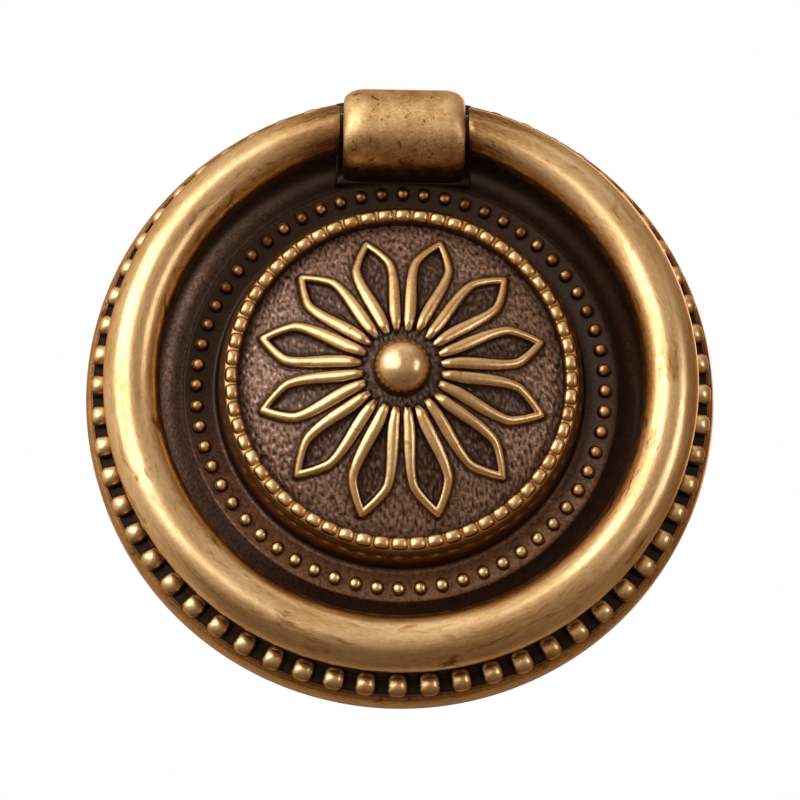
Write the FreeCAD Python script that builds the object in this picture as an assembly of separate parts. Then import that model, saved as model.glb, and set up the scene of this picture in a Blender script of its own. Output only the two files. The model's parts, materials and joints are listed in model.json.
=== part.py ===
import FreeCAD, Part
import math
import os
from FreeCAD import Vector

# Ring pull for a drawer or cupboard door. Sizes are in millimetres and angles in degrees.
# Pieces are drawn lying on their backs: z is the height above the drawer front and y points up the front.
# stand_up() then turns them, so that the handle hangs on a wall with its face along minus y.

# Plate: a round casting with a rim, a cove for the ring and a drum in the middle
plate_diameter = 56.0
rim_width = 2.6
rim_height = 3.5
rim_edge_break = 0.4
cove_height = 2.3
cove_slope = 1.4
ledge_width = 3.0
ledge_height = 3.9
drum_diameter = 32.6
drum_draft = 0.5
drum_height = 7.2

# Bead rows: all three have the same number of beads
beads_per_row = 60
bead_sunk = 0.2
bead_foot_share = 0.45
bead_top_share = 0.5
rim_bead_height = 1.3
rim_bead_fill = 0.66
pearl_height = 0.7
pearl_width = 1.25
pearl_inset = 1.2
pearl_fill = 0.66
rope_margin = 0.3
rope_width = 1.25
rope_height = 0.95
rope_fill = 0.86

# Medallion: a dome inside the rope, with petals that are raised outlines
dome_edge_height = 6.7
dome_crown_height = 10.6
petal_count = 12
petal_root_radius = 4.3
petal_tip_radius = 12.8
petal_gap = 0.25
petal_fill = 0.75
petal_belly_place = 0.6
petal_turn_place = 0.85
petal_turn_width = 0.55
petal_root_narrowing = 0.25
petal_rib_width = 0.85
petal_rib_height = 0.55
boss_diameter = 5.4

# Back of the plate: dished under the drum, with a tapped boss for the fixing screw
dish_margin = 2.2
dish_depth = 4.6
screw_boss_diameter = 8.0
screw_hole_diameter = 3.3
screw_hole_depth = 8.0

# Ring: round bar, open at the top, with a pin on each end
ring_inset = 4.4
ring_bar_diameter = 5.0
ring_axis_height = 7.4
pin_diameter = 3.0
pin_length = 2.8
pin_sunk = 1.25

# Saddle: arched block that carries the ring
saddle_width = 10.8
saddle_arch_radius = 3.7
saddle_end_round = 1.1
saddle_side_gap = 0.35
pin_clearance = 0.08
pad_margin = 0.7
stud_diameter = 2.4
stud_spacing = 6.4
stud_sunk = 0.5
stud_head_diameter = 3.6
stud_head_height = 0.8
stud_clearance = 0.06

# Worked out from the sizes above
plate_radius = plate_diameter / 2
drum_radius = drum_diameter / 2
drum_top_radius = drum_radius - drum_draft
cove_outer_radius = plate_radius - rim_width
ledge_outer_radius = drum_radius + ledge_width
rim_bead_width = rim_width - rim_edge_break
rim_bead_circle = plate_radius - rim_edge_break / 2 - rim_bead_width / 2
pearl_circle = ledge_outer_radius - pearl_inset
rope_circle = drum_top_radius - rope_margin - rope_width / 2
dome_radius = rope_circle - rope_width / 2
ring_radius = plate_radius - ring_inset
ring_end_x = saddle_width / 2 + saddle_side_gap
hinge_y = math.sqrt(ring_radius ** 2 - ring_end_x ** 2)
pad_half_width = saddle_width / 2 + pad_margin
petal_belly_radius = petal_root_radius + petal_belly_place * (petal_tip_radius - petal_root_radius)
up = Vector(0, 0, 1)
center = Vector(0, 0, 0)


def arc(start, middle, end):
    return Part.Arc(start, middle, end).toShape()


def spin(edges):
    # A solid turned about the plate's axis from a closed outline in the x z plane
    face = Part.Face(Part.Wire(edges))
    return face.revolve(center, up, 360)


def row(shape, count, keep=lambda angle: True):
    # Copies of one shape around the plate's axis, the first at the top
    copies = []
    for index in range(count):
        angle = index * 360.0 / count
        if keep(angle):
            copy = shape.copy()
            copy.rotate(center, up, -angle)
            copies.append(copy)
    return copies


def line(start, end):
    return Part.makeLine(start, end)


def at(radius, height):
    return Vector(radius, 0, height)


def dome_edge(lift):
    # Half outline of the medallion from its edge to its crown: a ball of which only the cap shows
    rise = dome_crown_height - dome_edge_height
    ball = (dome_radius ** 2 + rise ** 2) / (2 * rise)
    middle = dome_crown_height - ball
    reach = ball + lift
    edge_angle = math.acos(dome_radius / reach)
    half_angle = (edge_angle + math.pi / 2) / 2
    return arc(at(dome_radius, middle + reach * math.sin(edge_angle)),
               at(reach * math.cos(half_angle), middle + reach * math.sin(half_angle)),
               at(0, middle + reach))


def plate_blank():
    # Turned shape of the plate, without beads and petals
    corners = [at(0, 0), at(plate_radius, 0), at(plate_radius, rim_height - rim_edge_break),
               at(plate_radius - rim_edge_break, rim_height), at(cove_outer_radius, rim_height),
               at(cove_outer_radius - cove_slope, cove_height),
               at(ledge_outer_radius + cove_slope, cove_height),
               at(ledge_outer_radius, ledge_height), at(drum_radius, ledge_height),
               at(drum_top_radius, drum_height), at(dome_radius, drum_height),
               at(dome_radius, dome_edge_height)]
    edges = [line(start, end) for start, end in zip(corners, corners[1:])]
    edges.append(dome_edge(0))
    edges.append(line(at(0, dome_crown_height), at(0, 0)))
    return spin(edges)


def bead(circle, base, width, height, fill):
    # One bead at the top of its row: an upright foot sunk into the ground, then sloping sides
    length = fill * 2 * math.pi * circle / beads_per_row
    foot_height = bead_sunk + height * bead_foot_share
    foot = Part.makeBox(length, width, foot_height, Vector(-length / 2, -width / 2, 0))
    top_length = length * bead_top_share / 2
    top_width = width * bead_top_share / 2
    cap = Part.makeWedge(-length / 2, 0, -width / 2, -top_width, -top_length,
                         length / 2, height * (1 - bead_foot_share), width / 2, top_width, top_length)
    cap.rotate(center, Vector(1, 0, 0), 90)
    cap.translate(up * foot_height)
    whole = foot.fuse(cap).removeSplitter()
    whole.translate(Vector(0, circle, base - bead_sunk))
    return whole


def petal_loop(root, tip, root_half, belly_half):
    # Closed teardrop along y: straight sides that open out, then arcs to the tip
    belly = root + petal_belly_place * (tip - root)
    turn = root + petal_turn_place * (tip - root)
    turn_half = petal_turn_width * belly_half
    sides = []
    for side in (1, -1):
        start = Vector(side * root_half, root, 0)
        wide = Vector(side * belly_half, belly, 0)
        point = Vector(0, tip, 0)
        sides.append([line(start, wide), arc(wide, Vector(side * turn_half, turn, 0), point)])
    base = line(Vector(-root_half, root, 0), Vector(root_half, root, 0))
    return Part.Wire(sides[0] + sides[1][::-1] + [base])


def petal():
    # One petal rib, cut from an upright wall by the raised dome
    spread = math.tan(math.pi / petal_count)
    belly_half = petal_fill * spread * petal_belly_radius
    root_half = spread * petal_root_radius - petal_gap / 2
    outer = petal_loop(petal_root_radius, petal_tip_radius, root_half, belly_half)
    inner = petal_loop(petal_root_radius + petal_rib_width, petal_tip_radius - petal_rib_width,
                       petal_root_narrowing * root_half, belly_half - petal_rib_width)
    return Part.Face(outer).cut(Part.Face(inner)).extrude(up * (dome_crown_height + petal_rib_height))


def petals():
    # All petals, trimmed to a constant height over the dome
    lifted = dome_edge(petal_rib_height)
    floor = ledge_height
    rim, crown = lifted.Vertexes[0].Point, lifted.Vertexes[-1].Point
    top = spin([lifted, line(crown, at(0, floor)), line(at(0, floor), at(dome_radius, floor)),
                line(at(dome_radius, floor), rim)])
    half_step = 180.0 / petal_count
    ribs = []
    for rib in row(petal(), petal_count):
        rib.rotate(center, up, half_step)
        ribs += rib.common(top).Solids
    return ribs


def pad():
    # Flat seat for the saddle, which fills the cove and breaks the rim beads
    low = hinge_y - saddle_arch_radius - pad_margin
    block = Part.makeBox(2 * pad_half_width, plate_radius, ledge_height, Vector(-pad_half_width, low, 0))
    return block.common(Part.makeCylinder(plate_radius - rim_edge_break, ledge_height))


def stud_points():
    return [Vector(side * stud_spacing / 2, hinge_y, 0) for side in (1, -1)]


def backplate():
    blank = plate_blank()
    clear_half = math.degrees(math.asin((pad_half_width + rim_bead_width / 2) / rim_bead_circle))
    rim_bead = bead(rim_bead_circle, rim_height, rim_bead_width, rim_bead_height, rim_bead_fill)
    rim_beads = row(rim_bead, beads_per_row, lambda angle: clear_half < angle < 360 - clear_half)
    pearl = bead(pearl_circle, ledge_height, pearl_width, pearl_height, pearl_fill)
    rope = bead(rope_circle, drum_height, rope_width, rope_height, rope_fill)
    boss = Part.makeSphere(boss_diameter / 2, Vector(0, 0, dome_crown_height))
    beads = rim_beads + row(pearl, beads_per_row) + row(rope, beads_per_row)
    shape = blank.fuse([pad(), boss] + beads + petals())
    dish = Part.makeCylinder(drum_radius - dish_margin, dish_depth)
    dish = dish.cut(Part.makeCylinder(screw_boss_diameter / 2, dish_depth))
    tools = [dish, Part.makeCylinder(screw_hole_diameter / 2, screw_hole_depth)]
    for point in stud_points():
        tools.append(Part.makeCylinder(stud_diameter / 2 + stud_clearance, ledge_height, point))
        tools.append(Part.makeCylinder(stud_head_diameter / 2 + stud_clearance, stud_head_height, point))
    return shape.cut(tools)


def hinge_saddle():
    # Arch over the hinge axis with upright sides, then studs with peened heads under it
    half = saddle_width / 2
    low_left = Vector(-half, hinge_y - saddle_arch_radius, ledge_height)
    low_right = Vector(-half, hinge_y + saddle_arch_radius, ledge_height)
    rise = up * (ring_axis_height - ledge_height)
    crown = Vector(-half, hinge_y, ring_axis_height + saddle_arch_radius)
    edges = [line(low_left, low_right), line(low_right, low_right + rise),
             arc(low_right + rise, crown, low_left + rise), line(low_left + rise, low_left)]
    body = Part.Face(Part.Wire(edges)).extrude(Vector(saddle_width, 0, 0))
    ends = [edge for edge in body.Edges if isinstance(edge.Curve, Part.Circle)]
    body = body.makeFillet(saddle_end_round, ends)
    for side in (1, -1):
        mouth = Vector(side * half, hinge_y, ring_axis_height)
        body = body.cut(Part.makeCylinder(pin_diameter / 2 + pin_clearance, pin_length + pin_clearance,
                                          mouth, Vector(-side, 0, 0)))
    for point in stud_points():
        shank = Part.makeCylinder(stud_diameter / 2, ledge_height + stud_sunk, point)
        head = Part.makeCylinder(stud_head_diameter / 2, stud_head_height, point)
        body = body.fuse([shank, head])
    return body


def pull_ring():
    # Round bar bent into a ring, cut off square beside the saddle, with a pin in each end
    bar = Part.makeTorus(ring_radius, ring_bar_diameter / 2, Vector(0, 0, ring_axis_height))
    gap = Part.makeBox(2 * ring_end_x, ring_radius + ring_bar_diameter, ring_axis_height + ring_bar_diameter,
                       Vector(-ring_end_x, 0, 0))
    ring = bar.cut(gap)
    for side in (1, -1):
        root = Vector(side * (ring_end_x + pin_sunk), hinge_y, ring_axis_height)
        reach = pin_sunk + saddle_side_gap + pin_length
        ring = ring.fuse(Part.makeCylinder(pin_diameter / 2, reach, root, Vector(-side, 0, 0)))
    return ring


def stand_up(shape):
    # From lying on its back to hanging on a wall, face along minus y
    shape.rotate(center, Vector(1, 0, 0), 90)
    return shape


def export(name, shape):
    stand_up(shape.Solids[0]).exportStep("parts/" + name + ".step")


os.makedirs("parts", exist_ok=True)
export("backplate", backplate())
export("hinge_saddle", hinge_saddle())
export("pull_ring", pull_ring())
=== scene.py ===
import json
import math

import bmesh
import bpy
import numpy as np
from mathutils import Matrix, Vector, noise


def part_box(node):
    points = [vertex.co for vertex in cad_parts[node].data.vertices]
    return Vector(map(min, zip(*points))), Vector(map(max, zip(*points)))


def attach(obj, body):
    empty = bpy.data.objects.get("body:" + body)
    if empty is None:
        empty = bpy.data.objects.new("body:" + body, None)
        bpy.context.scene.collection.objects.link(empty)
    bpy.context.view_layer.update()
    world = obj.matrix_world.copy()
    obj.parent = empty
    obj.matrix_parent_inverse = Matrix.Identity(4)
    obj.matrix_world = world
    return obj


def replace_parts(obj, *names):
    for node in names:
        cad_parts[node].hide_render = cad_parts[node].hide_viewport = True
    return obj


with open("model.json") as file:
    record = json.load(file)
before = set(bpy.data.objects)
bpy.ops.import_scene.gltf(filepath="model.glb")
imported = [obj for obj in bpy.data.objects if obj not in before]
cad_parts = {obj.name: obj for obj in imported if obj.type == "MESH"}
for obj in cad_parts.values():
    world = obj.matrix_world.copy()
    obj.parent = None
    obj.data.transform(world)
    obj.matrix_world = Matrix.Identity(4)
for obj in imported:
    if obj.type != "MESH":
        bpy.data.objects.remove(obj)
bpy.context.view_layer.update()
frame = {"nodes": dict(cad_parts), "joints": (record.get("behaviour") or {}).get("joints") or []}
print("frame loaded:", ", ".join(sorted(frame["nodes"])))

# Lengths are millimetres on a handle that lies on its back: x runs across, y up the drawer front and h out
# of it. lying() turns them to metres in the frame of the CAD model.
mm = 0.001
fullTurn = 2 * math.pi
plateLow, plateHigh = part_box("backplate")
saddleLow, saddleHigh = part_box("hinge_saddle")
ringLow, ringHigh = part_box("pull_ring")
hinge = frame["joints"][0]["pos_m"]
plateRadius = (plateHigh.x - plateLow.x) / 2 / mm
bossTop = -plateLow.y / mm
barRadius = (ringHigh.y - ringLow.y) / 2 / mm
ringRadius = (ringHigh.x - ringLow.x) / 2 / mm - barRadius
hingeY = hinge[2] / mm
ringHeight = -hinge[1] / mm
saddleHalf = (saddleHigh.x - saddleLow.x) / 2 / mm
archRadius = (saddleHigh.z - saddleLow.z) / 2 / mm
rng = np.random.default_rng(7)


def lying(x, y, h):
    return np.stack(np.broadcast_arrays(x, -np.asarray(h, float), y), -1) * mm


# 0 up to low, 1 from high on, eased between them
def smooth(low, high, value):
    t = np.clip((np.asarray(value, float) - low) / (high - low), 0, 1)
    return t * t * (3 - 2 * t)


# Colour darker near the hinge, -1, as painted shade, and paler at the lower edge, 1, as painted light, from
# the photograph
paintedLightReach = 15


def paintedLightAndShade(y):
    return 1 - 2 * smooth(-paintedLightReach, paintedLightReach, y)


# Meshes: a weld distance that closes poles, and the angle in degrees from which an edge stays crisp
meshing = {"weld": 0.0004, "crease": 50, "cornerSteps": 6}


# A part is (points, quads, wear, ground, flow). Rows run down the part and columns close round it.
# The wear value goes from 0, dark patina, to 1, bare brass. The ground value is the share of the mottled
# colour.
# In places both also carry painted light, shade and sheen.
# flow is where the patina's clouds are read, in millimetres, so that they can run along a bar.
def gridPart(points, wearAndPaintedLight, mottleAndPaintedLight=0, flow=None):
    rows, columns = points.shape[:2]
    index = np.arange(rows * columns).reshape(rows, columns)
    after = np.roll(index, -1, axis=1)
    quads = np.stack([index[:-1], after[:-1], after[1:], index[1:]], -1).reshape(-1, 4)
    tones = [np.broadcast_to(tone, (rows, columns)).ravel() for tone in (wearAndPaintedLight, mottleAndPaintedLight)]
    flow = points / mm if flow is None else flow
    return points.reshape(-1, 3), quads, *tones, flow.reshape(-1, 3)


# A lathe outline from corners (radius, height, rounding, wear), each corner a short arc
def roundedOutline(corners, spacing):
    path = []
    for i, (r, h, rounding, wearAndPaintedLight) in enumerate(corners):
        here = np.array([r, h])
        if rounding == 0 or i in (0, len(corners) - 1):
            path.append((r, h, wearAndPaintedLight))
            continue
        before = np.array(corners[i - 1][:2]) - here
        after = np.array(corners[i + 1][:2]) - here
        start = here + before / np.linalg.norm(before) * rounding
        end = here + after / np.linalg.norm(after) * rounding
        for t in np.linspace(0, 1, meshing["cornerSteps"]):
            spot = (1 - t) ** 2 * start + 2 * t * (1 - t) * here + t * t * end
            path.append((spot[0], spot[1], wearAndPaintedLight))
    filled = [path[0]]
    for spot in path[1:]:
        steps = max(1, int(np.hypot(spot[0] - filled[-1][0], spot[1] - filled[-1][1]) / spacing))
        first = np.array(filled[-1])
        for k in range(1, steps + 1):
            filled.append(tuple(first + (np.array(spot) - first) * k / steps))
    return np.array(filled)


def lathePart(outline, columns, mottleAndPaintedLight=0):
    turn = np.linspace(0, fullTurn, columns, endpoint=False)
    r, h, wearAndPaintedLight = outline[:, 0, None], outline[:, 1, None], outline[:, 2, None]
    return gridPart(lying(r * np.sin(turn), r * np.cos(turn), h), wearAndPaintedLight, mottleAndPaintedLight)


def buildPiece(name, parts, material, body, node):
    points, quads, start = [], [], 0
    for part in parts:
        points.append(part[0])
        quads.append(part[1] + start)
        start += len(part[0])
    mesh = bpy.data.meshes.new(name)
    mesh.from_pydata(np.concatenate(points).tolist(), [], np.concatenate(quads).tolist())
    for tone, column in (("wearAndPaintedLight", 2), ("mottleAndPaintedLight", 3)):
        values = np.concatenate([part[column] for part in parts]).astype(np.float32)
        mesh.attributes.new(tone, "FLOAT", "POINT").data.foreach_set("value", values)
    flow = np.concatenate([part[4] for part in parts]).astype(np.float32)
    mesh.attributes.new("flow", "FLOAT_VECTOR", "POINT").data.foreach_set("vector", flow.ravel())
    solid = bmesh.new()
    solid.from_mesh(mesh)
    bmesh.ops.remove_doubles(solid, verts=solid.verts, dist=meshing["weld"] * mm)
    bmesh.ops.recalc_face_normals(solid, faces=solid.faces)
    for edge in solid.edges:
        if len(edge.link_faces) == 2 and edge.calc_face_angle() > math.radians(meshing["crease"]):
            edge.smooth = False
    solid.to_mesh(mesh)
    solid.free()
    mesh.polygons.foreach_set("use_smooth", [True] * len(mesh.polygons))
    mesh.materials.append(material)
    piece = bpy.data.objects.new(name, mesh)
    bpy.context.scene.collection.objects.link(piece)
    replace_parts(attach(piece, body), node)
    print(name, len(mesh.vertices), "points")


def linear(code):
    values = [int(code[i:i + 2], 16) / 255 for i in (1, 3, 5)]
    return [v / 12.92 if v <= 0.04045 else ((v + 0.055) / 1.055) ** 2.4 for v in values] + [1]


def addNode(tree, kind, settings, inputs, stops=()):
    node = tree.nodes.new(kind)
    for key, value in settings.items():
        setattr(node, key, value)
    for i, (place, code) in enumerate(stops):
        element = node.color_ramp.elements[i] if i < 2 else node.color_ramp.elements.new(place)
        element.position, element.color = place, linear(code)
    for key, value in inputs.items():
        if isinstance(value, bpy.types.NodeSocket):
            tree.links.new(value, node.inputs[key])
        else:
            node.inputs[key].default_value = value
    return node


# Cast brass, dipped in a dark brown patina and then buffed: bright warm satin metal on what stands proud,
# almost black oxide left in the hollows, and a cloudy brown in between.
# Sizes are millimetres, and shares are how far a pattern moves the wear.
def antiqueBrass(name, look):
    material = bpy.data.materials.new(name)
    material.use_nodes = True
    tree = material.node_tree
    shader = tree.nodes["Principled BSDF"]
    place = addNode(tree, "ShaderNodeAttribute", {"attribute_name": "flow"}, {}).outputs["Vector"]
    wearAndPaintedLight = addNode(tree, "ShaderNodeAttribute", {"attribute_name": "wearAndPaintedLight"}, {}).outputs["Fac"]
    mottleAndPaintedLight = addNode(tree, "ShaderNodeAttribute", {"attribute_name": "mottleAndPaintedLight"}, {}).outputs["Fac"]
    cloud = addNode(tree, "ShaderNodeTexNoise", {}, {
        "Vector": place, "Scale": 1 / look["cloudSize"], "Detail": look["cloudDetail"],
        "Roughness": look["cloudGrain"]})
    grit = addNode(tree, "ShaderNodeTexNoise", {}, {
        "Vector": place, "Scale": 1 / look["gritSize"], "Detail": look["gritDetail"],
        "Roughness": look["gritGrain"]})
    cloudy = addNode(tree, "ShaderNodeMath", {"operation": "MULTIPLY_ADD"}, {
        0: cloud.outputs["Fac"], 1: look["cloudShare"], 2: -look["cloudShare"] / 2})
    gritty = addNode(tree, "ShaderNodeMath", {"operation": "MULTIPLY_ADD"}, {
        0: grit.outputs["Fac"], 1: look["gritShare"], 2: -look["gritShare"] / 2})
    both = addNode(tree, "ShaderNodeMath", {"operation": "ADD"}, {
        0: cloudy.outputs[0], 1: gritty.outputs[0]})
    fleck = addNode(tree, "ShaderNodeTexNoise", {}, {
        "Vector": place, "Scale": 1 / look["fleckSize"], "Detail": look["fleckDetail"],
        "Roughness": look["fleckGrain"], "Distortion": look["fleckBend"]})
    nicks = addNode(tree, "ShaderNodeMapRange", {}, {
        "Value": fleck.outputs["Fac"], "From Min": look["fleckFrom"],
        "From Max": look["fleckFrom"] + look["fleckSoftness"], "To Max": -look["fleckShare"]})
    stained = addNode(tree, "ShaderNodeMath", {"operation": "ADD"}, {
        0: both.outputs[0], 1: nicks.outputs[0]})
    if look["streakShare"]:  # dark lines that the buffing wheel leaves along a bar
        drawn = addNode(tree, "ShaderNodeVectorMath", {"operation": "MULTIPLY"}, {
            0: place, 1: (look["streakWidth"] / look["streakLength"], 1, 1)})
        streak = addNode(tree, "ShaderNodeTexNoise", {}, {
            "Vector": drawn.outputs[0], "Scale": 1 / look["streakWidth"], "Detail": look["streakDetail"],
            "Roughness": look["streakGrain"]})
        lines = addNode(tree, "ShaderNodeMapRange", {}, {
            "Value": streak.outputs["Fac"], "From Min": look["streakFrom"], "From Max": look["streakFull"],
            "To Max": -look["streakShare"]})
        stained = addNode(tree, "ShaderNodeMath", {"operation": "ADD"}, {
            0: stained.outputs[0], 1: lines.outputs[0]})
    # Wear and its stains; in places this also carries painted light and shade
    buffedAndPaintedLight = addNode(tree, "ShaderNodeMath", {"operation": "ADD", "use_clamp": True}, {
        0: wearAndPaintedLight, 1: stained.outputs[0]}).outputs[0]
    color = addNode(tree, "ShaderNodeValToRGB", {}, {"Fac": buffedAndPaintedLight}, look["colors"])
    mottle = addNode(tree, "ShaderNodeValToRGB", {}, {"Fac": grit.outputs["Fac"]}, look["groundColors"])
    mixed = addNode(tree, "ShaderNodeMix", {"data_type": "RGBA"}, {
        "Factor": mottleAndPaintedLight, "A": color.outputs["Color"], "B": mottle.outputs["Color"]})
    tree.links.new(mixed.outputs["Result"], shader.inputs["Base Color"])
    shader.inputs["Specular Tint"].default_value = linear(look["specularTint"])
    shader.inputs["Specular IOR Level"].default_value = look["patinaGloss"]
    shader.inputs["Coat Weight"].default_value = look["lacquer"]
    shader.inputs["Coat Roughness"].default_value = look["lacquerRoughness"]
    metal = addNode(tree, "ShaderNodeMapRange", {}, {
        "Value": buffedAndPaintedLight, "From Min": look["dullWear"], "From Max": look["metalWear"],
        "To Min": look["patinaMetallic"], "To Max": 1.0})
    tree.links.new(metal.outputs["Result"], shader.inputs["Metallic"])
    dull = addNode(tree, "ShaderNodeMapRange", {}, {
        "Value": buffedAndPaintedLight, "From Min": look["dullWear"], "From Max": look["brightWear"],
        "To Min": look["dullRoughness"], "To Max": look["brightRoughness"]})
    tree.links.new(dull.outputs["Result"], shader.inputs["Roughness"])
    bump = addNode(tree, "ShaderNodeBump", {}, {
        "Height": grit.outputs["Fac"], "Strength": look["gritBump"], "Distance": look["gritDepth"] * mm})
    soft = addNode(tree, "ShaderNodeBump", {}, {
        "Height": cloud.outputs["Fac"], "Strength": 1.0, "Distance": look["cloudDepth"] * mm,
        "Normal": bump.outputs["Normal"]})
    tree.links.new(soft.outputs["Normal"], shader.inputs["Normal"])
    return material


# From oxide to bare brass. A ramp starts with two stops, so the two ends come first.
brassColors = [(0.0, "#110907"), (1.0, "#e5c698"), (0.25, "#2f1a10"), (0.5, "#7a5431"), (0.75, "#c39a66")]

# Plate: patina left in every hollow, so the relief stands out gold on almost black under a thin lacquer.
# Grit is the casting skin, drawn a few times coarser than a real one, which would be about a pixel here.
plateLook = {
    "cloudSize": 2.2, "cloudShare": 0.4, "cloudDepth": 0.03, "cloudDetail": 5, "cloudGrain": 0.62,
    "gritSize": 0.30, "gritShare": 0.35, "gritBump": 0.6, "gritDepth": 0.03,
    "gritDetail": 3, "gritGrain": 0.7,
    "fleckSize": 1.2, "fleckShare": 0.25, "fleckFrom": 0.60, "fleckSoftness": 0.13, "fleckDetail": 4,
    "fleckGrain": 0.6, "fleckBend": 0.6, "streakShare": 0,
    "dullWear": 0.1, "metalWear": 0.45, "brightWear": 0.9, "patinaMetallic": 0.15,
    "dullRoughness": 0.36, "brightRoughness": 0.30, "specularTint": "#c89a74",
    "lacquer": 0.22, "lacquerRoughness": 0.24, "patinaGloss": 0.35,
    "colors": brassColors, "groundColors": [(0.3, "#472f23"), (0.7, "#bb9480")],
}
# Ring: buffed all round by the wheel and by hands, so almost all metal, with clouds and streaks along the bar
ringLook = {
    **plateLook,
    "cloudSize": 2.6, "cloudShare": 0.65, "cloudDepth": 0.02,
    "gritSize": 0.22, "gritShare": 0.5, "gritBump": 0.4, "gritDepth": 0.010,
    "fleckSize": 1.3, "fleckShare": 0.36, "fleckFrom": 0.58, "brightRoughness": 0.29,
    "streakWidth": 1.1, "streakLength": 4.0, "streakShare": 0.11, "streakFrom": 0.50, "streakFull": 0.66,
    "streakDetail": 3, "streakGrain": 0.5,
}
# Saddle: rubbed with fine paper and not polished, so its shine is wide and soft, with patina in the pores
saddleLook = {
    **ringLook,
    "cloudSize": 1.6, "cloudShare": 0.7,
    "gritSize": 0.18, "gritShare": 0.7, "gritBump": 0.5, "gritDepth": 0.02,
    "fleckSize": 0.9, "fleckShare": 0.4, "fleckFrom": 0.60, "brightRoughness": 0.46, "streakShare": 0,
}
patinatedBrass = antiqueBrass("castBrassPatinated", plateLook)
buffedBrass = antiqueBrass("castBrassBuffed", ringLook)
satinBrass = antiqueBrass("castBrassSatin", saddleLook)
print("materials made")


# Saddle: arched block over the hinge, its ends rounded over, less so on the side towards the plate's middle.
# Across it, y goes from 1 on the outer side to -1 on that inner side.
# The stud outline is (radius, height, wear).
saddle = {
    "endRound": 1.15, "endLength": 1.9, "innerRound": 0.4, "innerSide": (-1.0, 0.2), "foot": 3.9,
    "archSteps": 48, "sideSteps": 12, "endSteps": 9, "acrossSteps": 22,
    "sideWear": 0.3, "archWear": 0.52, "wearStart": 1.2, "endWear": 0.06, "capWear": 0.2,
    "innerDarkening": 0.12, "underSide": (0.25, 0.95),
    "studX": 3.2, "studColumns": 32,
    "studOutline": [(0, 0.04, 0.5), (1.5, 0.03, 0.5), (1.8, 0.2, 0.4), (1.8, 0.8, 0.1), (0, 0.8, 0.0)],
}


def saddlePart():
    s = saddle
    sweep = np.radians(np.linspace(0, 180, s["archSteps"]))
    climb = np.linspace(s["foot"], ringHeight, s["sideSteps"])[:-1]
    side = np.full(len(climb), 1.0)
    y = np.concatenate([side, np.cos(sweep), -side])
    up = np.concatenate([0 * side, np.sin(sweep), 0 * side])
    base = np.concatenate([climb, np.full(len(sweep), ringHeight), climb[::-1]])
    corner = s["innerRound"] + (s["endRound"] - s["innerRound"]) * smooth(*s["innerSide"], y)
    low, high = s["foot"] + s["wearStart"], ringHeight + s["wearStart"]
    worn = s["sideWear"] + s["archWear"] * smooth(low, high, base + up * archRadius)
    worn = worn - s["innerDarkening"] * smooth(*s["underSide"], -y)  # darker towards the inner side
    rows, wearAndPaintedLight = [], []

    def addRow(x, inset, rowWear):
        radius = archRadius - inset
        rows.append(lying(x, hingeY + y * radius, base + up * radius))
        wearAndPaintedLight.append(np.broadcast_to(rowWear, y.shape))

    turns = np.linspace(0, math.pi / 2, s["endSteps"])
    ends = [(saddleHalf - s["endLength"] * (1 - math.cos(a)), corner * (1 - np.sin(a))) for a in turns]
    reach = saddleHalf - s["endLength"]
    addRow(-saddleHalf, archRadius, s["capWear"])
    for x, inset in ends:
        addRow(-x, inset, worn + s["endWear"])
    for x in np.linspace(-reach, reach, s["acrossSteps"])[1:-1]:
        addRow(x, 0, worn)
    for x, inset in ends[::-1]:
        addRow(x, inset, worn + s["endWear"])
    addRow(saddleHalf, archRadius, s["capWear"])
    return gridPart(np.array(rows), np.array(wearAndPaintedLight))


# Peened heads of the two studs, seen in their recesses at the back
def studParts():
    parts = []
    for side in (1, -1):
        part = lathePart(np.array(saddle["studOutline"]), saddle["studColumns"])
        part[0][:, 0] += side * saddle["studX"] * mm
        part[0][:, 2] += hingeY * mm
        parts.append(part)
    return parts


buildPiece("hingeSaddle", [saddlePart(), *studParts()], satinBrass, "plate", "hinge_saddle")


# Plate: lathe turned body, with its rim, cove, ledge and drum, and the dished back
plate = {
    "columns": 360, "spacing": 0.35,
    "rimSeat": 3.5, "rimInner": 25.4, "beadChannel": 0.5,
    "coveFloor": 2.2, "coveSpan": (0.1, 0.9), "coveCorners": 9, "coveRoundness": 0.8,
    "coveWear": 0.05, "coveSheen": 0.2, "sheenPlace": 0.22, "sheenWidth": 0.16,
    "ledgeRadius": 19.3, "ledge": 4.05, "ledgeInner": 3.6,
    "drumFoot": 16.3, "drumTop": 15.8, "drumHeight": 7.2, "ropeBand": 7.8,
    "domeRadius": 14.25, "domeSeat": 5.6,
    "dishRadius": 14.1, "dishDepth": 4.6, "screwBoss": 4.0, "screwRadius": 1.95, "screwDepth": 8.0,
    "studSink": 2.1, "studSinkDepth": 0.85, "sinkInside": 0.2, "sinkOutside": 0.3,
    "backWear": 0.56, "facingRings": 0.035, "backLevel": 0.02, "frontLevel": 1.0,
    "ledgePaintedLight": 0.3, "ledgeGrey": 0.03, "ledgePaintedLightGrey": 0.15,
    "coveSheenGrey": 0.04, "coveGreyWidth": 2.2, "coveLeftSheen": 0.28, "leftSide": (6, 19),
}


def coveOutline():
    p = plate
    corners = []
    for t in np.linspace(*p["coveSpan"], p["coveCorners"]):
        r = p["ledgeRadius"] + t * (p["rimInner"] - p["ledgeRadius"])
        straight = p["ledge"] + t * (p["rimSeat"] - p["ledge"])
        dip = straight - (straight - p["coveFloor"]) * math.sin(math.pi * t) ** p["coveRoundness"]
        # A band of higher wear on the cove's inner slope is a painted sheen
        sheen = p["coveSheen"] * math.exp(-((t - p["sheenPlace"]) / p["sheenWidth"]) ** 2)
        corners.append((r, dip, 0, p["coveWear"] + sheen))
    return corners


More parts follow.
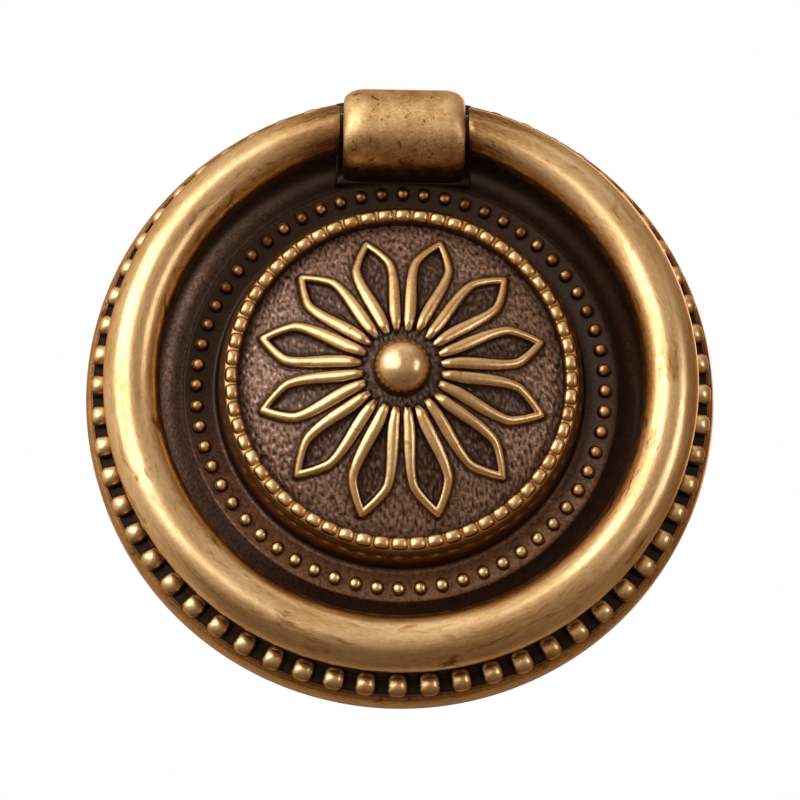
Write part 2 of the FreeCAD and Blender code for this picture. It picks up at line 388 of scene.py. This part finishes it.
# From the seat of the dome over the front and round the back to the bottom of the screw hole
def plateOutline():
    p = plate
    dome, drum, beadSeat = p["domeRadius"], p["drumTop"], p["rimSeat"] - p["beadChannel"]
    corners = [
        (dome - 1, p["domeSeat"], 0, 0.0),
        (dome - 0.1, p["domeSeat"], 0, 0.0),
        (dome, p["drumHeight"] + 0.1, 0.1, 0.2),
        (dome + 0.25, p["ropeBand"], 0.15, 0.6),
        (drum - 0.4, p["ropeBand"] - 0.05, 0.3, 0.7),
        (drum + 0.15, p["drumHeight"] - 0.3, 0.55, 0.85),
        (drum + 0.3, p["drumHeight"] - 1.9, 0, 0.6),
        (drum + 0.4, p["drumHeight"] - 2.8, 0, 0.2),
        (p["drumFoot"], p["ledgeInner"], 0.5, 0.05),
        (p["ledgeRadius"], p["ledge"], 0.35, 0.06),
        *coveOutline(),
        (p["rimInner"], p["rimSeat"], 0.25, 0.2),
        (p["rimInner"] + 0.5, beadSeat, 0.1, 0.0),
        (plateRadius - 0.8, beadSeat, 0.05, 0.0),
        (plateRadius - 0.7, p["rimSeat"] - 0.45, 0.05, 0.45),
        (plateRadius - 0.25, p["rimSeat"] - 0.8, 0.2, 0.66),
        (plateRadius, p["rimSeat"] - 1.7, 0.3, 0.72),
        (plateRadius, 0.3, 0.1, 0.62),
        (plateRadius, 0.0, 0.1, 0.45),
        (p["dishRadius"], 0.0, 0.2, 0.45),
        (p["dishRadius"], p["dishDepth"], 0.3, 0.2),
        (p["screwBoss"], p["dishDepth"], 0.3, 0.2),
        (p["screwBoss"], 0.0, 0.2, 0.5),
        (p["screwRadius"], 0.0, 0.15, 0.4),
        (p["screwRadius"], p["screwDepth"], 0.0, 0.1),
        (0.0, p["screwDepth"] + 0.4, 0.0, 0.0),
    ]
    return roundedOutline(corners, p["spacing"])


def plateBody():
    p = plate
    outline = plateOutline()
    r, h = outline[:, 0], outline[:, 1]
    faced = (h < p["backLevel"]) & (r > p["dishRadius"])
    outline[faced, 2] = p["backWear"] + rng.normal(0, p["facingRings"], faced.sum())  # from the facing tool
    onLedge = (r > p["drumFoot"]) & (r < p["ledgeRadius"]) & (h > p["frontLevel"])
    # The cove's grey band, stronger on the left, is a painted sheen
    onCove = (r > p["ledgeRadius"]) & (r < p["ledgeRadius"] + p["coveGreyWidth"]) & (h > p["frontLevel"])
    part = lathePart(outline, p["columns"], (p["ledgeGrey"] * onLedge + p["coveSheenGrey"] * onCove)[:, None])

    # Recesses round the stud heads: near points move onto the circle, those inside it sink
    spots = part[0] / mm
    for side in (1, -1):
        away = spots[:, [0, 2]] - (side * saddle["studX"], hingeY)
        far = np.linalg.norm(away, axis=1)
        back = (spots[:, 1] > -p["backLevel"]) & (far < p["studSink"] + p["sinkOutside"])
        edge = back & (far > p["studSink"] - p["sinkInside"])
        spots[np.ix_(edge, [0, 2])] += away[edge] * (p["studSink"] / far[edge] - 1)[:, None]
        spots[back & ~edge, 1] = -p["studSinkDepth"]
    part[0][:] = spots * mm

    # Painted light on the ledge below and a painted sheen on the cove's left side, both from the photograph
    paintedLitBelow = np.clip(paintedLightAndShade(spots[:, 2]), 0, 1)
    ledge = np.repeat(onLedge, p["columns"])
    part[2][ledge] += p["ledgePaintedLight"] * paintedLitBelow[ledge]
    part[3][ledge] += p["ledgePaintedLightGrey"] * paintedLitBelow[ledge]
    cove = np.repeat(onCove, p["columns"])
    part[3][cove] += p["coveLeftSheen"] * smooth(*p["leftSide"], -spots[cove, 0])
    return part


# Screw thread: a sleeve in the fixing hole, crest and root winding up it
thread = {
    "crest": 1.65, "pitch": 0.7, "turns": 10, "steps": 8, "columns": 48,
    "start": 0.3, "mouth": 0.12, "runout": 0.3, "rootFlat": 1.25, "crestWear": 0.45,
    "sleeve": 0.02, "sleeveWear": 0.1,
}


def threadPart():
    t = thread
    turn = np.linspace(0, fullTurn, t["columns"], endpoint=False)
    deepest = plate["screwDepth"] - t["runout"]
    rows, wearAndPaintedLight = [], []
    for k in range(t["turns"] * t["steps"]):
        h = t["start"] + k * t["pitch"] / t["steps"] + t["pitch"] * turn / fullTurn - t["pitch"]
        wave = abs(((k / t["steps"]) % 1) * 2 - 1)
        r = t["crest"] + (plate["screwRadius"] - t["crest"]) * min(1, t["rootFlat"] * wave)
        rows.append(lying(r * np.sin(turn), r * np.cos(turn), np.clip(h, t["mouth"], deepest)))
        wearAndPaintedLight.append(np.full(t["columns"], t["crestWear"] * (1 - wave)))
    outside = plate["screwRadius"] + t["sleeve"]
    for h in (deepest, t["mouth"]):
        rows.append(lying(outside * np.sin(turn), outside * np.cos(turn), h))
        wearAndPaintedLight.append(np.full(t["columns"], t["sleeveWear"]))
    rows.append(rows[0])
    wearAndPaintedLight.append(wearAndPaintedLight[0])
    return gridPart(np.array(rows), np.array(wearAndPaintedLight))


# Pad: flat seat for the saddle, across the cove and the rim
pad = {
    "half": 6.1, "beadGap": 1.0, "inner": 0.2, "outer": 0.6, "drop": 0.03, "edge": 0.25, "foot": 1.0,
    "arcSteps": 24, "sideSteps": 12, "wearAndPaintedLight": 0.05, "edgeWear": 0.1, "topWear": 0.08,
}


def padPart():
    s = pad
    half, edge = s["half"], s["edge"]
    low, high, top = hingeY - archRadius - s["inner"], plateRadius - s["outer"], plate["ledge"] - s["drop"]
    turn = math.asin(half / high)
    arc = [(high * math.sin(a), high * math.cos(a)) for a in np.linspace(turn, -turn, s["arcSteps"])]
    side = np.linspace(0, 1, s["sideSteps"])[1:]
    left = [(-half, arc[-1][1] + (low - arc[-1][1]) * t) for t in side]
    bottom = [(-half + 2 * half * t, low) for t in side]
    right = [(half, low + (arc[0][1] - low) * t) for t in side[:-1]]
    loop = np.array(arc + left + bottom + right)
    middle = np.array([0, (low + high) / 2])
    rings = [
        (1, s["foot"], 0.0),
        (1, top - edge, s["wearAndPaintedLight"]),
        (1 - edge / 12, top - edge / 4, s["edgeWear"]),
        (1 - edge / 6, top, s["topWear"]),
        (0.5, top, s["wearAndPaintedLight"]),
        (0, top, s["wearAndPaintedLight"]),
    ]
    rows, wearAndPaintedLight = [], []
    for share, h, worn in rings:
        spots = middle + (loop - middle) * share
        rows.append(lying(spots[:, 0], spots[:, 1], h))
        wearAndPaintedLight.append([worn] * len(spots))
    return gridPart(np.array(rows), np.array(wearAndPaintedLight))


def buildOnPlate(name, parts):
    buildPiece(name, parts, patinatedBrass, "plate", "backplate")


buildOnPlate("backplateBody", [plateBody(), threadPart(), padPart()])


# Bead rows: soft cushions on a circle, each a little different. plan and dome are squareness from above and
# from the side, 2 for round. Each row also has a share of painted shade near the hinge and painted light
# below.
bead = {
    "count": 60, "columns": 28, "rises": [0, 0, 12, 24, 36, 48, 60, 72, 82, 90],
    "footShare": 0.25, "sunk": 0.3, "sizeSpread": 0.02,
    "wearRise": (0.15, 0.9), "wearSpread": 0.06, "outerSide": (0.5, 0.9),
}
rimBeads = {
    "circle": 26.5, "seat": 3.0, "halfWidth": 1.05, "halfLength": 1.0, "height": 1.3,
    "plan": 2.6, "dome": 2.0, "worn": 1.0, "paintedLightAndShade": 0.0, "outerWear": 0.72, "footWear": 0.0,
}
pearlRow = {
    "circle": 18.1, "seat": 3.87, "halfWidth": 0.64, "halfLength": 0.58, "height": 0.72,
    "plan": 2.1, "dome": 2.1, "worn": 0.76, "paintedLightAndShade": 0.20, "outerWear": 0, "footWear": 0.0,
}
ropeBorder = {
    "circle": 14.88, "seat": 7.2, "halfWidth": 0.60, "halfLength": 0.785, "height": 0.93,
    "plan": 3.2, "dome": 2.4, "worn": 0.85, "paintedLightAndShade": 0.01, "outerWear": 0, "footWear": 0.5,
}


def beadPart(row, angle):
    around = np.linspace(0, fullTurn, bead["columns"], endpoint=False)
    rise = np.radians(bead["rises"])[:, None]
    plan, dome = 2 / row["plan"], 2 / row["dome"]
    length, width = 1 + rng.normal(0, bead["sizeSpread"], 3)[:2]  # the third keeps the order of draws
    wide = np.cos(rise) ** dome
    tangent = row["halfLength"] * length * np.sign(np.cos(around)) * np.abs(np.cos(around)) ** plan * wide
    radial = row["halfWidth"] * width * np.sign(np.sin(around)) * np.abs(np.sin(around)) ** plan * wide
    foot = bead["footShare"] * row["height"]
    lift = foot + (row["height"] - foot) * np.sin(rise) ** dome
    lift[0] = -bead["sunk"]  # into the ground
    r = row["circle"] + radial
    turn = angle + tangent / row["circle"]
    # Painted shade near the hinge and painted light below
    paintedTone = row["paintedLightAndShade"] * paintedLightAndShade(row["circle"] * math.cos(angle))
    worn = row["worn"] + paintedTone + rng.normal(0, bead["wearSpread"])
    wearAndPaintedLight = smooth(*bead["wearRise"], lift / row["height"]) * worn
    wearAndPaintedLight = np.maximum(wearAndPaintedLight, row["footWear"])
    wearAndPaintedLight = np.maximum(wearAndPaintedLight, row["outerWear"] * smooth(*bead["outerSide"], radial / row["halfWidth"]))
    return gridPart(lying(r * np.sin(turn), r * np.cos(turn), row["seat"] + lift), wearAndPaintedLight)


# gapHalf leaves room for the pad at the top
def beadParts(row, gapHalf=0):
    parts = []
    for i in range(bead["count"]):
        angle = fullTurn * i / bead["count"]
        x, y = row["circle"] * math.sin(angle), row["circle"] * math.cos(angle)
        if y > 0 and abs(x) < gapHalf:
            continue
        parts.append(beadPart(row, angle))
    return parts


buildOnPlate("rimBeads", beadParts(rimBeads, pad["half"] + pad["beadGap"]))
buildOnPlate("pearlRow", beadParts(pearlRow))
buildOnPlate("ropeBorder", beadParts(ropeBorder))


# Rosette: domed ground, twelve petals drawn by raised ribs, and a round boss.
# Each rib spot is (radius, distance from the petal's middle, half width of the rib).
# Names with Start, Rise, Edge or Fade hold where a change starts and where it is complete.
rosette = {
    "petals": 12, "columnsPerPetal": 64, "crown": 10.6, "edge": 6.7,
    "bossRadius": 2.52, "bossSquareness": 0.86, "bossSteps": 20, "bossFoot": 4,
    "bossDents": 0.035, "dentsPerMm": 1.1,
    "bossWear": 0.15, "bossBuff": 0.79, "bossReach": 2.7, "buffRise": (0.22, 0.62),
    "rootRows": (2.6, 3.5, 8), "groundRows": (3.6, 98), "overlap": 0.05,
    "rib": [(3.5, 0.44, 0.40), (4.4, 0.59, 0.49), (5.2, 0.71, 0.55), (6.3, 0.96, 0.57), (7.4, 1.22, 0.54),
            (8.6, 1.46, 0.49), (9.6, 1.55, 0.45), (10.3, 1.44, 0.43), (11.3, 0.92, 0.40), (12.1, 0.38, 0.39),
            (12.6, 0.0, 0.38)],
    "ribSamples": 160, "batch": 8192, "ribHeight": 0.6, "ribCrown": 0.42, "ribEdge": (0.85, 1.15),
    "rootFade": (2.9, 4.5), "rootWidth": 0.55, "rootUneven": 0.35, "handwork": 0.03,
    "footGroove": 0.07, "groovePlace": 1.3, "grooveWidth": 0.28,
    "stipple": 0.09, "stippleStart": (2.6, 3.1), "strokeAcross": 4.2, "strokeAlong": 2.0,
    "strokeLean": (0.8, 0.4), "hollow": 0.25, "hollowEdge": (1.0, 2.0), "hollowStipple": 0.5,
    "ribWear": 0.88, "ribPaintedLight": 0.07, "wearRise": (0.05, 0.5),
    "groundWear": 0.2, "hollowWear": 0.16, "stippleWear": 0.1, "groundStart": (2.7, 4.6), "groovePatinaAndShade": 0.8,
    "groundGrey": 0.52, "groundMottle": 1.0, "hollowGrey": 0.12, "hollowMottle": 0.6, "greyFade": (0.0, 0.3),
    "greyStart": (3.0, 5.0), "rootGrey": 0.35, "ribShade": 0.75, "shadeWidth": 0.9,
}


# A smooth curve through spots, as many samples as asked
def throughSpots(spots, samples):
    spots = np.array(spots)
    padded = np.vstack([2 * spots[0] - spots[1], spots, 2 * spots[-1] - spots[-2]])
    where = np.linspace(0, len(spots) - 1 - 1e-9, samples)
    k = where.astype(int)
    t = (where - k)[:, None]
    a, b, c, d = padded[k], padded[k + 1], padded[k + 2], padded[k + 3]
    bend, twist = 2 * a - 5 * b + 4 * c - d, 3 * b - a - 3 * c + d
    return 0.5 * (2 * b + (c - a) * t + bend * t ** 2 + twist * t ** 3)


# For every spot: how far it is from a rib's middle line, in half widths of that rib, whether it lies inside
# a petal, and how much of the rib is left there, which is less near the boss
def petalRibs(r, turn):
    s = rosette
    step = fullTurn / s["petals"]
    fold = np.abs((turn % step) - step / 2)  # half a petal stands for all
    petal = (turn // step).astype(int)
    longer = 1 + s["handwork"] * rng.uniform(-0.5, 0.5, s["petals"])[petal]
    side = (turn % step > step / 2).astype(int)
    wider = 1 + s["handwork"] * rng.uniform(-1.5, 1.5, (s["petals"], 2))[petal, side]
    along, across = r * np.cos(fold) * longer, r * np.sin(fold) * wider
    rib = throughSpots(s["rib"], s["ribSamples"])
    line = rib[:, :2]
    spots = np.stack([along, across], -1).reshape(-1, 1, 2)
    ribs = np.empty(len(spots))
    for a in range(0, len(spots), s["batch"]):
        gap = np.linalg.norm(spots[a:a + s["batch"]] - line, axis=2)
        ribs[a:a + s["batch"]] = gap.min(1) / rib[gap.argmin(1), 2]
    inside = across < np.interp(along, line[:, 0], line[:, 1], left=0, right=0)
    uneven = s["rootUneven"] * rng.uniform(-1, 1, (s["petals"], 2))[petal, side]
    fade = smooth(*s["rootFade"], r + uneven)
    ribs = ribs.reshape(along.shape) / (s["rootWidth"] + (1 - s["rootWidth"]) * fade)
    return ribs, inside, fade


def rosettePart():
    s = rosette
    dome = plate["domeRadius"]
    rise = s["crown"] - s["edge"]
    ball = (dome ** 2 + rise ** 2) / (2 * rise)
    turn = np.linspace(0, fullTurn, s["petals"] * s["columnsPerPetal"], endpoint=False)
    climb = np.radians(np.linspace(90, s["bossFoot"], s["bossSteps"]))
    bossR = s["bossRadius"] * np.cos(climb) ** s["bossSquareness"]
    bossH = s["crown"] + (bossTop - s["crown"]) * np.sin(climb) ** s["bossSquareness"]
    start, count = s["groundRows"]
    groundR = np.concatenate([np.linspace(*s["rootRows"]), np.linspace(start, dome + s["overlap"], count)])
    groundH = s["crown"] - ball + np.sqrt(ball ** 2 - groundR ** 2)
    r = np.concatenate([bossR, groundR])[:, None]
    h = np.concatenate([bossH, groundH])[:, None] + 0 * turn
    isBoss = (np.arange(len(r)) < len(bossR))[:, None]
    ribs, inside, fade = petalRibs(r, turn)
    crest = (1 - s["ribCrown"] * ribs ** 2) * (1 - smooth(*s["ribEdge"], ribs)) * fade
    crest = np.where(isBoss, 0, np.clip(crest, 0, 1))

    # Dents on the boss, and short upright strokes of a punch on the ground
    rough = np.zeros_like(h)
    leanX, leanY = s["strokeLean"]
    for i in range(1, len(r)):
        for k, a in enumerate(turn):
            x, y = r[i, 0] * math.sin(a), r[i, 0] * math.cos(a)
            if i < len(bossR):
                h[i, k] -= s["bossDents"] * (1 + noise.noise((x * s["dentsPerMm"], y * s["dentsPerMm"], 3)))
            else:
                across, along = x * s["strokeAcross"] + y * leanX, y * s["strokeAlong"] - x * leanY
                rough[i, k] = noise.noise((across, along, 0))
    stipple = s["stipple"] * rough * np.where(inside, s["hollowStipple"], 1)
    h = h + s["ribHeight"] * crest + stipple * (1 - crest) * smooth(*s["stippleStart"], r)
    h = h - s["hollow"] * (inside & ~isBoss) * smooth(*s["hollowEdge"], ribs)
    beside = np.exp(-((ribs - s["groovePlace"]) / s["grooveWidth"]) ** 2) * fade * ~isBoss
    h = h - s["footGroove"] * beside

    floor = np.where(inside, s["hollowWear"], s["groundWear"]) + s["stippleWear"] * rough
    # Patina and painted shade darken the ground along the foot of each rib
    floor = floor * smooth(*s["groundStart"], r) * (1 - s["groovePatinaAndShade"] * beside)
    # Painted shade on the ribs near the hinge and painted light below
    ribWear = (s["ribWear"] + s["ribPaintedLight"] * paintedLightAndShade(r * np.cos(turn))) * smooth(*s["wearRise"], crest)
    # The boss darkens towards its foot: patina in the crease and painted shade where it meets the ground
    bossWear = s["bossWear"] + s["bossBuff"] * smooth(*s["buffRise"], (h - s["crown"]) / s["bossReach"])
    wearAndPaintedLight = np.where(isBoss, bossWear, np.maximum(floor, ribWear))
    grey = np.where(inside, s["hollowGrey"], s["groundGrey"])
    grey = grey + np.where(inside, s["hollowMottle"], s["groundMottle"]) * rough
    outward = s["rootGrey"] + (1 - s["rootGrey"]) * smooth(*s["greyStart"], r)
    grey = (1 - smooth(*s["greyFade"], crest)) * grey * outward * ~isBoss
    grey = np.clip(grey, 0, 1) * (1 - s["ribShade"] * np.exp(-((ribs - 1) / s["shadeWidth"]) ** 2))
    return gridPart(lying(r * np.sin(turn), r * np.cos(turn), h), wearAndPaintedLight, grey)


buildOnPlate("rosette", [rosettePart()])


# Ring: round bar that thins towards the hinge, cut off flat beside the saddle, with a pin in each end.
# Angles named turn are radians from the top, and flowShare stretches the clouds along the bar.
ring = {
    "sideGap": 0.35, "pinRadius": 1.5, "pinLength": 2.8, "endEdge": 0.25, "endBreak": 0.08,
    "thin": 0.30, "thinAngle": 42,
    "columns": 56, "steps": 330, "endSteps": 20, "endTurn": 0.25, "squareTurn": 0.22,
    "polishWave": 0.07, "waveLength": 11.0, "waveAcross": 1.5, "flowShare": 0.3,
    "worn": 0.92, "endPatina": 0.3, "patinaTurn": 0.3, "endWear": 0.3,
    "innerPatinaAndShade": 0.22, "innerSide": (0.3, 1.0),
}


def ringPart():
    s = ring
    endX = saddleHalf + s["sideGap"]
    first = math.asin(endX / ringRadius)
    last = fullTurn - first
    turn = np.concatenate([np.linspace(first, first + s["endTurn"], s["endSteps"])[:-1],
                           np.linspace(first + s["endTurn"], last - s["endTurn"], s["steps"]),
                           np.linspace(last - s["endTurn"], last, s["endSteps"])[1:]])
    fromTop = np.minimum(turn, fullTurn - turn)
    radius = barRadius - s["thin"] * np.exp(-(np.degrees(fromTop) / s["thinAngle"]) ** 2)
    square = 1 - smooth(first, first + s["squareTurn"], fromTop)
    lean = np.where(turn < math.pi, turn * (1 - square), fullTurn - (fullTurn - turn) * (1 - square))
    around = np.linspace(0, fullTurn, s["columns"], endpoint=False)
    out = np.cos(around)
    rows, wearAndPaintedLight, flow = [], [], []

    def addRow(x, y, leanAngle, size, worn, run=0.0):
        rows.append(lying(x + size * out * math.sin(leanAngle), y + size * out * math.cos(leanAngle),
                          ringHeight + size * np.sin(around)))
        wearAndPaintedLight.append(np.broadcast_to(worn, out.shape))
        flow.append(np.stack([np.full(len(out), run), size * out, size * np.sin(around)], -1))

    pinEnd = endX - s["sideGap"] - s["pinLength"]
    # The pins get no wear, so they are dark: painted shade in the gap between ring and saddle
    endRows = [(pinEnd, 0.0, 0.0), (pinEnd, s["pinRadius"], 0.0), (endX, s["pinRadius"], 0.0),
               (endX, radius[0] - s["endEdge"], s["endWear"])]
    for x, size, worn in endRows:
        addRow(x, hingeY, 0.0, size, worn)
    for i, a in enumerate(turn):
        along = ringRadius * a / s["waveLength"]
        wave = np.array([noise.noise((s["waveAcross"] * math.cos(t), s["waveAcross"] * math.sin(t), along))
                         for t in around])
        edge = s["endBreak"] if i in (0, len(turn) - 1) else 0
        size = radius[i] - s["polishWave"] * (0.5 + 0.5 * wave) - edge
        worn = s["worn"] - s["endPatina"] * (1 - smooth(first, first + s["patinaTurn"], fromTop[i]))
        # Darker on the inner side: patina that the wheel missed, and painted shade for the dark cove it
        # reflects
        worn = worn - s["innerPatinaAndShade"] * smooth(*s["innerSide"], -out)
        run = s["flowShare"] * ringRadius * a
        addRow(ringRadius * math.sin(a), ringRadius * math.cos(a), lean[i], size, worn, run)
    for x, size, worn in endRows[::-1]:
        addRow(-x, hingeY, 0.0, size, worn)
    return gridPart(np.array(rows), np.array(wearAndPaintedLight), 0, np.array(flow))


buildPiece("pullRing", [ringPart()], buffedBrass, "ring", "pull_ring")


# Studio: pale floor well below, big soft lights, white behind. Metres and watts.
# The walls are what the brass reflects, in linear light: each is mixed over those before it, along an axis.
studio = {
    "floorDrop": 0.17, "floorHalf": 3.0, "floorColor": "#e9e7e3", "floorRoughness": 0.9,
    "lights": [
        {"name": "softboxBack", "at": (0.25, 0.65, 0.30), "size": (0.50, 0.50), "power": 1.6},
        {"name": "softboxLeft", "at": (-0.49, -0.58, 0.25), "size": (0.80, 0.70), "power": 4.2},
        {"name": "softboxTop", "at": (0.05, -0.35, 0.60), "size": (0.60, 0.30), "power": 0.2},
        {"name": "windowRight", "at": (0.60, -0.50, 0.02), "size": (0.22, 0.40), "power": 0.8},
    ],
    "lowColor": (0.215, 0.145, 0.092, 1),
    "walls": [
        {"name": "front", "color": (0.52, 0.415, 0.30, 1), "axis": "Z", "from": -0.75, "full": 0.1},
        {"name": "top", "color": (0.59, 0.50, 0.395, 1), "axis": "Z", "from": 0.1, "full": 0.8},
        {"name": "back", "color": (0.58, 0.50, 0.41, 1), "axis": "Y", "from": 0.5, "full": 0.9},
        {"name": "left", "color": (0.95, 0.84, 0.70, 1), "axis": "X", "from": 0.35, "full": -0.7},
        {"name": "right", "color": (0.30, 0.21, 0.13, 1), "axis": "X", "from": 0.45, "full": 0.9},
    ],
}


def buildFloor():
    half, z = studio["floorHalf"], -studio["floorDrop"]
    mesh = bpy.data.meshes.new("floor")
    corners = [(-half, -half, z), (half, -half, z), (half, half, z), (-half, half, z)]
    mesh.from_pydata(corners, [], [(0, 1, 2, 3)])
    floor = bpy.data.objects.new("floor", mesh)
    bpy.context.scene.collection.objects.link(floor)
    paper = bpy.data.materials.new("paperMatt")  # uncoated paper: pale, no shine
    paper.use_nodes = True
    shader = paper.node_tree.nodes["Principled BSDF"]
    shader.inputs["Base Color"].default_value = linear(studio["floorColor"])
    shader.inputs["Roughness"].default_value = studio["floorRoughness"]
    mesh.materials.append(paper)
    floor.visible_glossy = False  # kept out of the brass's reflections


def buildLights():
    for spec in studio["lights"]:
        lamp = bpy.data.lights.new(spec["name"], "AREA")
        lamp.shape = "RECTANGLE"
        lamp.size, lamp.size_y = spec["size"]
        lamp.energy = spec["power"]
        holder = bpy.data.objects.new(spec["name"], lamp)
        holder.location = spec["at"]
        holder.rotation_euler = (-Vector(spec["at"])).to_track_quat("-Z", "Y").to_euler()
        bpy.context.scene.collection.objects.link(holder)


def buildSurround():
    world = bpy.data.worlds.new("studioSurround")
    bpy.context.scene.world = world
    world.use_nodes = True
    tree = world.node_tree
    tree.nodes.clear()
    way = addNode(tree, "ShaderNodeTexCoord", {}, {}).outputs["Generated"]
    axes = addNode(tree, "ShaderNodeSeparateXYZ", {}, {"Vector": way})
    shares = {}
    color = studio["lowColor"]
    for wall in studio["walls"]:
        share = addNode(tree, "ShaderNodeMapRange", {}, {
            "Value": axes.outputs[wall["axis"]],
            "From Min": wall["from"], "From Max": wall["full"]}).outputs[0]
        if wall["name"] == "left":  # fades out downwards, as the front does
            share = addNode(tree, "ShaderNodeMath", {"operation": "MULTIPLY"}, {
                0: share, 1: shares["front"]}).outputs[0]
        shares[wall["name"]] = share
        color = addNode(tree, "ShaderNodeMix", {"data_type": "RGBA"}, {
            "Factor": share, "A": color, "B": wall["color"]}).outputs["Result"]
    walls = addNode(tree, "ShaderNodeBackground", {}, {"Color": color, "Strength": 1.0})
    white = addNode(tree, "ShaderNodeBackground", {}, {"Color": (1, 1, 1, 1), "Strength": 1.0})
    seen = addNode(tree, "ShaderNodeLightPath", {}, {})
    mixed = addNode(tree, "ShaderNodeMixShader", {}, {
        0: seen.outputs["Is Camera Ray"], 1: walls.outputs[0], 2: white.outputs[0]})
    addNode(tree, "ShaderNodeOutputWorld", {}, {"Surface": mixed.outputs[0]})


# Camera: below the handle and a little to the side, in degrees and metres, with the lens in millimetres
camera = {"azimuth": -0.8, "elevation": -15.0, "distance": 0.2927, "lens": 146.8, "sensor": 36.0, "roll": 0.6,
          "clip": (0.01, 20)}


def buildCamera():
    a, e, roll = (math.radians(camera[k]) for k in ("azimuth", "elevation", "roll"))
    back = Vector((math.sin(a) * math.cos(e), -math.cos(a) * math.cos(e), math.sin(e)))
    right = (-back).cross(Vector((0, 0, 1))).normalized()
    up = back.cross(right)
    across = right * math.cos(roll) + up * math.sin(roll)
    upward = up * math.cos(roll) - right * math.sin(roll)
    data = bpy.data.cameras.new("camera")
    data.lens = camera["lens"]
    data.sensor_width = camera["sensor"]
    data.clip_start, data.clip_end = camera["clip"]
    holder = bpy.data.objects.new("camera", data)
    turn = Matrix((across, upward, back)).transposed().to_4x4()
    holder.matrix_world = Matrix.Translation(back * camera["distance"]) @ turn
    bpy.context.scene.collection.objects.link(holder)
    bpy.context.scene.camera = holder


buildFloor()
buildLights()
buildSurround()
buildCamera()
bpy.context.scene.view_settings.view_transform = "Standard"
print("studio and camera set")
